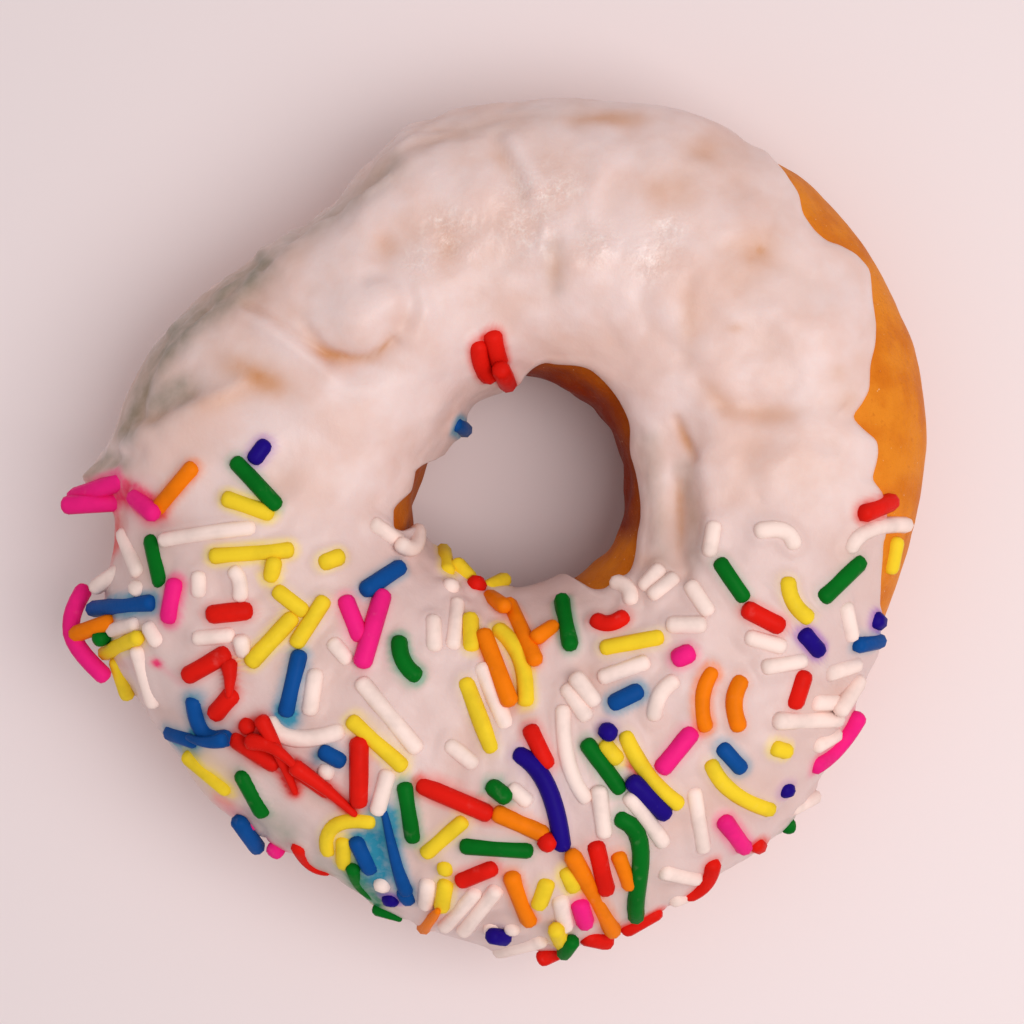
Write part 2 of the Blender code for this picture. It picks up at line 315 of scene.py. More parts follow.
class Finish:
    """A Principled material, with one method that adds a node of any type."""

    def __init__(self, name, **sockets):
        self.material = bpy.data.materials.new(name)
        self.material.use_nodes = True
        self.tree = self.material.node_tree
        self.shader = self.tree.nodes["Principled BSDF"]
        self.shade(**sockets)

    def put(self, value, socket):
        if isinstance(value, Value):
            self.tree.links.new(value.socket, socket)
        else:
            socket.default_value = value

    def shade(self, **sockets):
        """Sets or links the shader's own sockets: Base_Color stands for Base Color."""
        for name, value in sockets.items():
            self.put(value, self.shader.inputs[name.replace("_", " ")])

    def node(self, kind, settings=None, sockets=None, output=0):
        """Adds a node, changes its settings, then sets or links its sockets."""
        node = self.tree.nodes.new(kind)
        for name, value in (settings or {}).items():
            setattr(node, name, value)
        for name, value in (sockets or {}).items():
            self.put(value, node.inputs[name])
        return Value(self, node.outputs[output])

    def noise(self, size, detail=3.0, roughness=0.55):
        """Noise whose patches measure about the size given, in mm, on Object coordinates."""
        place = self.node("ShaderNodeTexCoord", output="Object")
        sockets = {"Vector": place, "Scale": 1 / (size * MM), "Detail": detail, "Roughness": roughness}
        return self.node("ShaderNodeTexNoise", None, sockets)

    def attribute(self, name, output="Fac"):
        return self.node("ShaderNodeAttribute", {"attribute_name": name}, output=output)

    def between(self, value, low, high):
        """0 where the value is at low, 1 where it is at high, smooth between and level beyond
        both. Where low is the greater, it falls as the value rises."""
        settings = {"interpolation_type": "SMOOTHSTEP"}
        return self.node("ShaderNodeMapRange", settings, {0: value, 1: low, 2: high})

    def patches(self, size, low, high, detail=3.0):
        """Soft-edged patches of about the size given, in mm: noise taken between two levels."""
        return self.between(self.noise(size, detail), low, high)

    def blend(self, first, second, share):
        """The first colour where share is 0 and the second where it is 1."""
        settings = {"data_type": "RGBA"}
        return self.node("ShaderNodeMix", settings, {0: share, 6: first, 7: second}, output=2)

    def bump(self, height, depth):
        """Normals of a relief whose height runs from 0 to 1 over a depth in mm."""
        sockets = {"Height": height, "Strength": 1.0, "Distance": depth * MM}
        return self.node("ShaderNodeBump", None, sockets)


crust_bearing = (np.arange(CRUST_STEPS) / CRUST_STEPS * 360.0)[:, None]
crust_section = (np.arange(CRUST_SECTION_STEPS) / CRUST_SECTION_STEPS * 360.0 - 90.0)[None, :]
crust_points = doughnut_surface(crust_bearing, crust_section)
crust_relief = lumps(crust_points, CRUST_LUMPS, 40)
in_hole = section_bell(crust_section, *HOLE_WALL)
hole_wavelength, hole_height = CRUST_HOLE_LUMPS
crust_relief += hole_height * in_hole * soft_noise(crust_points, hole_wavelength, 47)
crust_relief *= np.clip(crust_points[..., 2] / FLAT_BASE_FADE, 0.0, 1.0)
crust_points = inside_solids(crust_points + grid_normals(crust_points) * crust_relief[..., None])

crust = mesh_piece(
    "fried_crust",
    crust_points.reshape(-1, 3),
    ring_quads(CRUST_STEPS, CRUST_SECTION_STEPS).reshape(-1, 4),
)
# Painted shade and real browning in the hole, cut back on the arcs that carry painted light, and real
# browning underneath.
browned_and_shaded = in_hole
for *arc, lit_share in LIT_HOLE_ARCS:
    browned_and_shaded = browned_and_shaded * (1 - lit_share * window(crust_bearing, *arc))
browned_and_shaded = browned_and_shaded + UNDERSIDE_BROWN * section_bell(crust_section, *UNDERSIDE)
wander_length, wander_mean, wander_swing = BAND_WANDER
wander = wander_mean + wander_swing * soft_noise(crust_points, wander_length, 51)
pale_band = section_bell(crust_section, *PALE_BAND) * wander
set_attribute(crust, "browning_and_shade", np.clip(browned_and_shaded, 0.0, 1.0))
set_attribute(crust, "pale_band", np.clip(pale_band, 0.0, 1.0))

GOLDEN = seen_colour(230, 134, 34)
DEEP_GOLD = seen_colour(222, 120, 24)
HOLE_BROWN_AND_SHADE = seen_colour(140, 44, 8)
PROVED_PALE = seen_colour(240, 184, 104)
SUGAR_SPECK = seen_colour(244, 205, 160)
BLISTER = seen_colour(190, 88, 20)

fried = Finish("fried_crust", Specular_IOR_Level=0.06)
blotches = fried.patches(5.5, 0.38, 0.66, 4.0)
skin = fried.blend(GOLDEN, DEEP_GOLD, blotches)
skin = fried.blend(skin, PROVED_PALE, fried.attribute("pale_band") * 0.6)
# The hole's painted shade and the browning go in as one dark brown.
skin = fried.blend(skin, HOLE_BROWN_AND_SHADE, (fried.attribute("browning_and_shade") + blotches * 0.12).clamped())
skin = fried.blend(skin, BLISTER, fried.patches(0.9, 0.62, 0.74, 2.0) * 0.35)
skin = fried.blend(skin, SUGAR_SPECK, fried.patches(0.45, 0.74, 0.79, 1.0) * 0.55)
fried.shade(Base_Color=skin, Roughness=fried.noise(3.0) * 0.25 + 0.36)
fried.shade(Normal=fried.bump(fried.noise(0.8, 5.0, 0.65), 0.22))
crust.data.materials.append(fried.material)
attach(crust, "root")
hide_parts("dough_ring")

# Poured icing
# Warm sugar icing that the ring was dipped in, upside down. It set as a soft skin with a rounded
# lip, thick in its folds and thin enough over the swells for the crust to show through.

ICING_STEPS = 600
ICING_TOP_ROWS = 132
ICING_UNDER_ROWS = 32
ICING_LIFT = 1.5
ICING_SUNK = 0.5
LIP_WIDTH = 2.6
ICING_OUTER_LOW = -12.0
ICING_OUTER_WAVES = ((5, 3.0), (11, 2.0))
ICING_INNER_LOW = 190.0
ICING_INNER_WAVES = ((4, 3.0),)
# How much closer the grid's rows stand at the lips, and how far its underside bows down in mm.
ROWS_CROWDED = 0.4
UNDER_BOW = 0.3

# The bare side of the crust: start and end of its arc and the softness of each end, then the
# icing's edge along it in pixels.
BARE_SIDE = (-25.0, 62.0, 7.0, 10.0)
BARE_SIDE_EDGE = (
    (738, 143), (762, 153), (771, 161), (785, 175), (799, 193), (803, 213), (815, 230), (828, 241),
    (840, 245), (855, 255), (868, 270), (873, 300), (877, 325), (876, 345), (871, 365), (870, 390),
    (862, 405), (853, 415), (856, 422), (868, 433), (878, 440), (879, 455), (875, 470), (872, 480),
    (880, 488), (886, 510), (884, 545), (881, 580), (879, 610), (874, 640), (865, 672),
)
# Bare arcs of the hole: start and end, the softness of each end, and how far the icing's edge
# stands back there in degrees of section angle. Where two overlap, both count.
BARE_HOLE_ARCS = (
    (-65.0, 91.0, 20.0, 30.0, 36.0),
    (20.0, 66.0, 20.0, 20.0, 7.0),
    (-58.0, -32.0, 18.0, 20.0, 10.0),
    (170.0, 208.0, 14.0, 14.0, 31.0),
    (190.0, 206.0, 8.0, 10.0, 11.0),
)
# Drips on the outer side: bearing, section angle, half width along and up, height.
ICING_DRIPS = ((172.2, 8.0, 3.0, 17.0, 2.8), (192.0, 0.0, 6.0, 22.0, 0.6))
# Sides where the icing ran thin: start and end of the arc and the softness of each end, then
# what it lacks in mm, and the section angles between which it comes back to the full.
FAR_SIDE = (92.0, 171.0, 22.0, 3.0)
THIN_SIDES = ((FAR_SIDE, 0.95, 28.0, 62.0), ((-25.0, 66.0, 8.0, 10.0), 0.75, 45.0, 75.0))

# The camera stands straight above, and one pixel of the frame is this wide on the floor.
CAMERA = np.array((1.7, 2.2, 240.0))
PIXEL = 0.113
FRAME_MIDDLE = 512.0

# Folds and creases in pixels: the line they follow, half width, and height in mm.
FOLDS = (
    (((132, 415), (141, 385), (155, 358), (180, 328), (205, 305)), 7.0, -0.42),
    (((205, 303), (230, 283), (254, 262)), 6.0, -0.45),
    (((168, 334), (190, 313), (214, 297), (238, 280)), 3.0, 0.30),
    (((262, 268), (285, 247), (306, 228)), 4.5, -0.30),
    (((300, 230), (327, 212), (352, 197), (366, 184)), 4.2, -0.42),
    (((312, 221), (338, 205), (364, 196), (391, 177)), 3.0, 0.30),
    (((372, 180), (395, 158), (426, 140), (458, 131)), 6.0, -0.28),
    (((360, 182), (386, 158), (412, 137)), 3.0, 0.26),
    (((440, 128), (490, 118), (540, 115)), 9.0, -0.12),
    (((306, 328), (318, 343), (332, 354), (350, 360), (368, 359), (384, 352), (394, 342)), 6.0, -0.50),
    (((302, 318), (326, 350), (352, 364), (380, 358), (396, 344)), 13.0, -0.28),
    (((352, 322), (372, 306), (384, 298)), 22.0, 0.72),
    (((243, 301), (270, 316), (298, 337), (330, 360)), 5.0, -0.45),
    (((248, 290), (278, 304), (300, 320)), 9.0, -0.22),
    (((240, 313), (268, 330), (298, 352), (330, 376)), 7.0, 0.34),
    (((365, 276), (388, 274), (404, 284), (412, 300), (406, 322)), 9.0, -0.40),
    (((420, 290), (424, 315), (412, 340)), 9.0, 0.26),
    (((128, 447), (150, 430), (180, 413), (212, 396), (240, 381)), 8.0, 0.45),
    (((140, 415), (155, 420), (170, 405), (190, 394)), 8.0, -0.40),
    (((495, 136), (506, 158), (514, 176), (520, 194)), 7.0, -0.36),
    (((510, 138), (524, 160), (536, 190)), 8.0, 0.30),
    (((425, 226), (450, 223), (490, 223)), 3.0, -0.20),
    (((556, 240), (558, 262), (552, 288)), 10.0, -0.36),
    (((600, 170), (590, 210), (600, 250)), 10.0, 0.30),
    (((640, 300), (650, 330), (679, 352), (700, 380), (725, 405)), 11.0, -0.26),
    (((725, 405), (778, 412), (820, 408), (855, 400)), 13.0, -0.24),
    (((676, 420), (684, 438), (692, 456)), 6.0, -0.34),
    (((679, 484), (676, 510), (676, 545), (684, 575)), 8.0, -0.42),
    (((650, 430), (654, 480), (656, 540)), 10.0, 0.16),
    (((702, 458), (706, 500), (708, 550)), 11.0, 0.22),
    (((576, 118), (610, 115), (660, 119)), 10.0, -0.18),
    (((530, 205), (545, 222), (540, 245)), 3.5, 0.16),
    (((580, 232), (600, 240), (612, 256)), 3.5, 0.16),
    (((445, 262), (470, 250), (488, 236)), 3.5, 0.16),
    (((690, 150), (720, 160), (745, 185)), 10.0, -0.20),
    (((700, 230), (720, 250), (755, 246), (780, 262)), 13.0, -0.18),
    (((690, 280), (684, 310), (690, 335)), 10.0, -0.16),
    (((770, 330), (800, 345), (838, 372)), 11.0, -0.14),
    (((386, 240), (380, 254)), 12.0, -0.25),
    (((449, 246), (444, 264)), 12.0, -0.25),
    (((470, 250), (520, 240), (570, 262)), 12.0, 0.18),
    (((770, 470), (800, 455), (835, 462)), 12.0, 0.25),
)

# Thin places that the crust shows through, in pixels: middle, half sizes, heading, strength.
THIN_PLACES = (
    (257, 376, 36, 14, -25, 0.76),
    (222, 398, 28, 11, 20, 0.45),
    (790, 470, 62, 42, 0, 0.20),
    (738, 278, 62, 42, 0, 0.16),
    (150, 421, 25, 6, 20, 0.30),
    (384, 246, 18, 12, -20, 0.30),
    (447, 254, 13, 17, 0, 0.30),
    (620, 119, 26, 8, -4, 0.72),
    (588, 118, 18, 6, 0, 0.35),
    (705, 150, 26, 15, 0, 0.46),
    (659, 186, 16, 18, 0, 0.20),
    (678, 190, 34, 24, 30, 0.34),
    (757, 246, 28, 22, 0, 0.28),
    (761, 248, 5, 4, 0, 0.30),
    (324, 352, 26, 7, -38, 0.40),
    (690, 325, 12, 30, 0, 0.35),
    (735, 328, 8, 5, 0, 0.40),
    (718, 398, 24, 11, -45, 0.36),
    (768, 415, 34, 9, 0, 0.40),
    (840, 372, 10, 12, 0, 0.28),
    (852, 402, 12, 16, 0, 0.30),
    (684, 440, 17, 5, -68, 0.70),
    (677, 515, 32, 4, 90, 0.50),
    (555, 265, 10, 22, 0, 0.22),
    (300, 255, 30, 10, 40, 0.20),
    (345, 357, 26, 5, -8, 0.62),
    (382, 350, 12, 4, 40, 0.52),
    (500, 160, 14, 8, -60, 0.25),
    (640, 560, 10, 26, 80, 0.20),
)
# Painted shade, a grey tint in the deep folds of the far side and in a few creases and valleys
# elsewhere: the line, half width and strength.
PAINTED_SHADE_FOLDS = (
    (((128, 430), (138, 394), (160, 356), (196, 319), (234, 287), (262, 264)), 16.0, 1.0),
    (((262, 264), (300, 236), (352, 200), (395, 164)), 13.0, 0.52),
    (((395, 160), (440, 132), (520, 116), (575, 110)), 13.0, 0.12),
    (((150, 412), (165, 398), (182, 390)), 17.0, 0.80),
    (((84, 474), (100, 462), (118, 462)), 12.0, 0.80),
    (((650, 440), (657, 500), (662, 560)), 13.0, 0.35),
    (((684, 470), (690, 520), (694, 560)), 12.0, 0.40),
    (((504, 156), (512, 172), (518, 188)), 9.0, 0.10),
    (((552, 250), (556, 285)), 12.0, 0.26),
)
# Places with a fine glossy crackle and painted white glints, in pixels: middle and radius.
CRACKLE_AND_GLINT_PLACES = (
    (532, 200, 34), (525, 228, 30), (450, 232, 30), (596, 244, 24), (650, 258, 24), (560, 186, 24),
    (418, 262, 16), (668, 232, 20),
)


def waves(bearing, counts_and_depths):
    """Sum of depth * sin(count * bearing)."""
    return sum(depth * np.sin(count * np.radians(bearing)) for count, depth in counts_and_depths)


def photo_pixels(points):
    """Pixels at which the camera sees points given in mm: their offset from the camera's foot,
    spread by how near they are to it."""
    nearness = CAMERA[2] / (CAMERA[2] - points[..., 2]) / PIXEL
    column = FRAME_MIDDLE + (points[..., 0] - CAMERA[0]) * nearness
    row = FRAME_MIDDLE - (points[..., 1] - CAMERA[1]) * nearness
    return np.stack([column, row], axis=-1)


def turn_and_reach(pixels):
    """Bearings in degrees and distances of pixels from the middle of the ring's widest outline."""
    right, down = np.moveaxis(pixels - photo_pixels(np.array((*RING_CENTRE, WIDEST_Z))), -1, 0)
    return np.degrees(np.arctan2(-down, right)), np.hypot(right, down)


def section_under(edge, bearing):
    """Section angle at each bearing where the crust is seen under a line of pixels: the first
    from the top down that lies as far out as the line does."""
    sections = np.arange(90.0, 4.0, -0.25)
    turn, reach = turn_and_reach(photo_pixels(doughnut_surface(bearing, sections[None, :])))
    edge_turn, edge_reach = turn_and_reach(np.array(edge, float))
    order = np.argsort(edge_turn)
    past = reach >= np.interp(turn, edge_turn[order], edge_reach[order])
    past[:, -1] = True
    found = sections[past.argmax(axis=1)]
    return ((np.roll(found, 1) + 2 * found + np.roll(found, -1)) / 4)[:, None]


def icing_edges(bearing):
    """Section angles where the icing stops, on the outer side and in the hole: a wavy low line,
    raised to the edge seen over the bare side, and over the bare arcs of the hole."""
    bare = window(bearing, *BARE_SIDE)
    outer = ICING_OUTER_LOW + waves(bearing, ICING_OUTER_WAVES)
    outer = outer + (section_under(BARE_SIDE_EDGE, bearing) - outer) * bare
    inner = ICING_INNER_LOW + waves(bearing, ICING_INNER_WAVES)
    for *arc, rise in BARE_HOLE_ARCS:
        inner = inner - rise * window(bearing, *arc)
    return outer, inner


def drip_height(bearing, section):
    """What the drips add to the icing's thickness and the thin sides take off it, in mm: bells
    over bearing and section, less a smooth step down each thin side."""
    total = np.zeros(np.broadcast_shapes(np.shape(bearing), np.shape(section)))
    for middle, angle, along, up, height in ICING_DRIPS:
        u, v = turn_between(middle, bearing) / along, turn_between(angle, section) / up
        total = total + height * np.exp(-u * u - v * v)
    for arc, lack, start, end in THIN_SIDES:
        low = smooth_step(np.clip((end - np.asarray(section)) / (end - start), 0.0, 1.0))
        total = total - lack * window(bearing, *arc) * low
    return total


def line_gap(places, line):
    """Least distance from each place to a run of straight stretches, in two or three axes."""
    least = np.full(places.shape[:-1], np.inf)
    for start, end in zip(line[:-1], line[1:]):
        start, step = np.array(start, float), np.subtract(end, start).astype(float)
        share = np.clip((places - start) @ step / (step @ step), 0.0, 1.0)
        least = np.minimum(least, np.linalg.norm(places - start - share[..., None] * step, axis=-1))
    return least


def oval_bell(places, column, row, half_long, half_wide, heading):
    """exp(-(along / half_long)^2 - (across / half_wide)^2) round a pixel, heading up from +X."""
    turn = math.radians(-heading)
    right, down = places[..., 0] - column, places[..., 1] - row
    u = (right * math.cos(turn) + down * math.sin(turn)) / half_long
    v = (down * math.cos(turn) - right * math.sin(turn)) / half_wide
    return np.exp(-u * u - v * v)


# The skin's grid goes over the top from the outer lip to the inner one, closer at the lips, and
# back under it, sunk in the crust. Its thickness swells from the lip as a quarter of an oval.
icing_bearing = (np.arange(ICING_STEPS) / ICING_STEPS * 360.0)[:, None]
outer_edge, inner_edge = icing_edges(icing_bearing)
top_share = np.linspace(0.0, 1.0, ICING_TOP_ROWS + 1)
top_share = top_share - ROWS_CROWDED * np.sin(2 * math.pi * top_share) / (2 * math.pi)
under_share = np.linspace(1.0, 0.0, ICING_UNDER_ROWS + 1)[1:-1]
top_section = outer_edge + (inner_edge - outer_edge) * top_share[None, :]
under_section = outer_edge + (inner_edge - outer_edge) * under_share[None, :]

# About how far a degree of section angle goes over the icing, to measure the way from its lips.
MM_PER_DEGREE = 0.25
from_lip = np.minimum(top_section - outer_edge, inner_edge - top_section) * MM_PER_DEGREE
fullness = np.sqrt(1 - (1 - np.clip(from_lip / LIP_WIDTH, 0.0, 1.0)) ** 2)
top_lift = (ICING_LIFT + ICING_SUNK) * fullness - ICING_SUNK
top_lift = top_lift + drip_height(icing_bearing, top_section) * fullness
under_lift = -ICING_SUNK - UNDER_BOW * np.sin(math.pi * under_share)[None, :]
top_points = doughnut_surface(icing_bearing, top_section, top_lift)
under_points = doughnut_surface(icing_bearing, under_section, under_lift)
icing_points = np.concatenate([top_points, under_points], axis=1)
icing_normals = grid_normals(icing_points)

# Relief: soft lumps and thin wandering creases everywhere, and the folds where they are seen.
ICING_LUMPS = ((16.0, 0.26), (8.0, 0.17), (4.2, 0.085), (2.3, 0.035))
# A crease runs where a noise is nearly 0: that noise's wavelength, how near, and the height. It
# comes and goes with a second noise of the next wavelength.
WANDERING_CREASE = (14.0, 0.16, -0.08)
CREASE_PATCHES = 9.0
# Small folds on the far side, where the thin icing sagged: their wavelength and height in mm, the
# middle section angle and half width of their place, and how they are squeezed along each axis.
SAG_FOLDS = (3.2, 0.20)
SAG_PLACE = (22.0, 26.0)
SAG_SQUEEZE = (1.0, 1.0, 1.6)
LEAST_SKIN = 0.25
# Folds and thin places come in as the icing turns up, and the painted shade of the far side a little
# later.
FACING_GAIN = 2.5
PAINTED_SHADE_GAIN = 4.0
PAINTED_SHADE_DELAY = 0.2
# How much a crease thins the icing for each mm of its depth, and at most.
CREASE_THINS = 0.35
MOST_CREASE_THIN = 0.25

rows_on_top = top_points.shape[1]
top_pixels = photo_pixels(top_points)
top_normals = icing_normals[:, :rows_on_top]
facing_up = np.clip(top_normals[..., 2] * FACING_GAIN, 0.0, 1.0)
icing_relief = lumps(top_points, ICING_LUMPS, 60)
crease_length, crease_width, crease_height = WANDERING_CREASE
crease = bell(soft_noise(top_points, crease_length, 66), crease_width)
creased = np.clip(soft_noise(top_points, CREASE_PATCHES, 67) * 2, 0.0, 1.0)
icing_relief += crease_height * crease * creased
sag_length, sag_height = SAG_FOLDS
sagging = window(icing_bearing, *FAR_SIDE) * section_bell(top_section, *SAG_PLACE)
icing_relief += sag_height * sagging * soft_noise(top_points * SAG_SQUEEZE, sag_length, 68)
for line, half_width, height in FOLDS:
    icing_relief += height * bell(line_gap(top_pixels, line), half_width) * facing_up
icing_relief = np.maximum(icing_relief, LEAST_SKIN - np.maximum(top_lift, LEAST_SKIN))
icing_relief *= np.clip(from_lip / LIP_WIDTH, 0.0, 1.0)
icing_points[:, :rows_on_top] += top_normals * icing_relief[..., None]
icing_points = inside_solids(icing_points)

icing = mesh_piece(
    "poured_icing",
    icing_points.reshape(-1, 3),
    ring_quads(*icing_points.shape[:2]).reshape(-1, 4),
)


def over_icing(values, under=0.0):
    """Values of the top rows, with one value for the rows underneath, for every vertex."""
    every = np.full(icing_points.shape[:2] + values.shape[2:], under, dtype=float)
    every[:, :rows_on_top] = values
    return every.reshape(-1, *values.shape[2:])


thin = np.clip(-icing_relief * CREASE_THINS, 0.0, MOST_CREASE_THIN)
for *oval, strength in THIN_PLACES:
    thin += strength * oval_bell(top_pixels, *oval) * facing_up
# Painted shade along the folds, kept off the steep sides.
painted_shade = np.zeros_like(thin)
above_side = np.clip(top_normals[..., 2] * PAINTED_SHADE_GAIN - PAINTED_SHADE_DELAY, 0.0, 1.0)
for line, half_width, strength in PAINTED_SHADE_FOLDS:
    shade = strength * bell(line_gap(top_pixels, line), half_width)
    painted_shade = np.maximum(painted_shade, shade * above_side)
crackle_and_glint = np.zeros_like(thin)
for column, row, radius in CRACKLE_AND_GLINT_PLACES:
    crackle_and_glint = np.maximum(crackle_and_glint, oval_bell(top_pixels, column, row, radius, radius, 0.0))
set_attribute(icing, "thin", over_icing(np.clip(thin, 0.0, 1.0)))
set_attribute(icing, "painted_shade", over_icing(painted_shade))
set_attribute(icing, "crackle_and_glint", over_icing(crackle_and_glint * facing_up))

SET_ICING = seen_colour(235, 206, 201)
WARM_ICING = seen_colour(229, 192, 182)
THIN_ICING = seen_colour(206, 142, 98)
PAINTED_SHADE_ICING = seen_colour(142, 129, 111)
DARKER_SOUTH_ICING = seen_colour(220, 189, 184)
PAINTED_GLINT = seen_colour(255, 244, 238)

glaze = Finish("set_icing", Specular_IOR_Level=0.34, Coat_Roughness=0.16)
glaze.shade(Subsurface_Weight=0.18, Subsurface_Scale=0.0012, Subsurface_Radius=(1.0, 0.7, 0.55))
crackled_and_glinting = glaze.attribute("crackle_and_glint")
sugar = glaze.blend(SET_ICING, WARM_ICING, glaze.patches(7.0, 0.35, 0.68))
place = glaze.node("ShaderNodeTexCoord", output="Object")
north = glaze.node("ShaderNodeSeparateXYZ", None, {0: place}, output=1)
# Towards -Y the icing turns darker, from none above 7 mm to the most below -3 mm.
sugar = glaze.blend(sugar, DARKER_SOUTH_ICING, glaze.between(north, 7.0 * MM, -3.0 * MM) * 0.72)
# Painted shade: grey over the folds, broken into streaks.
shade_streaks = glaze.noise(2.2, 3.0) * 1.1 + 0.25
sugar = glaze.blend(sugar, PAINTED_SHADE_ICING, (glaze.attribute("painted_shade") * shade_streaks).clamped())
mottle = glaze.noise(2.6, 3.0) * 0.8 + 0.6
sugar = glaze.blend(sugar, THIN_ICING, (glaze.attribute("thin") * mottle).clamped())
# Painted highlights: white veins and specks over the crackle stand for glints; the veins also go into
# the bump.
vein_gap = glaze.noise(2.0, 4.0, 0.6).distance_from(0.5)
vein_relief_and_glint = glaze.between(vein_gap, 0.05, 0.0) * crackled_and_glinting
glint_grains = glaze.patches(0.8, 0.56, 0.72, 2.0) * crackled_and_glinting
sugar = glaze.blend(sugar, PAINTED_GLINT, (vein_relief_and_glint * 0.16 + glint_grains * 0.26).clamped())
soaked = (glaze.attribute("dye_amount") * (glaze.noise(1.3, 3.0) * 0.9 + 0.55)).clamped()
sugar = glaze.blend(sugar, glaze.attribute("dye", "Color"), soaked)
wet = glaze.noise(1.6, 4.0) * 0.3 + 0.26 - crackled_and_glinting * 0.16
glaze.shade(Base_Color=sugar, Roughness=wet, Coat_Weight=crackled_and_glinting * 0.5)
ripple = glaze.noise(1.1, 3.0) * 0.45 + glaze.noise(0.5, 2.0) * (crackled_and_glinting * 0.9 + 0.1)
glaze.shade(Normal=glaze.bump(ripple + vein_relief_and_glint * 0.06, 0.12))
icing.data.materials.append(glaze.material)
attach(icing, "root")
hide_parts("icing")

# Sugar sprinkles
# Short rods of coloured sugar paste, about 2 mm thick with worn round ends, some of them bent.
# One half of the ring was pressed in a tray of them while the icing was wet, so they sit in it.

SPRINKLE_RADIUS = 0.9
SPRINKLE_SUNK = 0.75
SPRINKLE_SIDES = 8
# Rods differ in thickness between these shares, and the dye of some colours swelled theirs.
THINNEST = 0.93
THICKEST = 1.06
SWOLLEN = {"pink": 1.10, "red": 1.08}
# A worn end: its length in radii, and where its rings stand, as shares of it from the tip.
END_LENGTH = 0.76
END_PLACES = (0.0, 0.10, 0.40, 1.0)
END_ROUNDNESS = 2.2
# Rings between the ends of a straight rod, and of one that bulges more than this from its chord
# in mm. No rod is taken as shorter than the last value.
STRAIGHT_RINGS = 1
BENT_RINGS = 9
LEAST_BULGE = 0.2
SHORTEST = 0.3
# Where a rod is worn it takes on this much of the icing's colour, and in patches it is deeper.
FADED_SHARE = 0.28
DEEPER_SHARE = 0.86

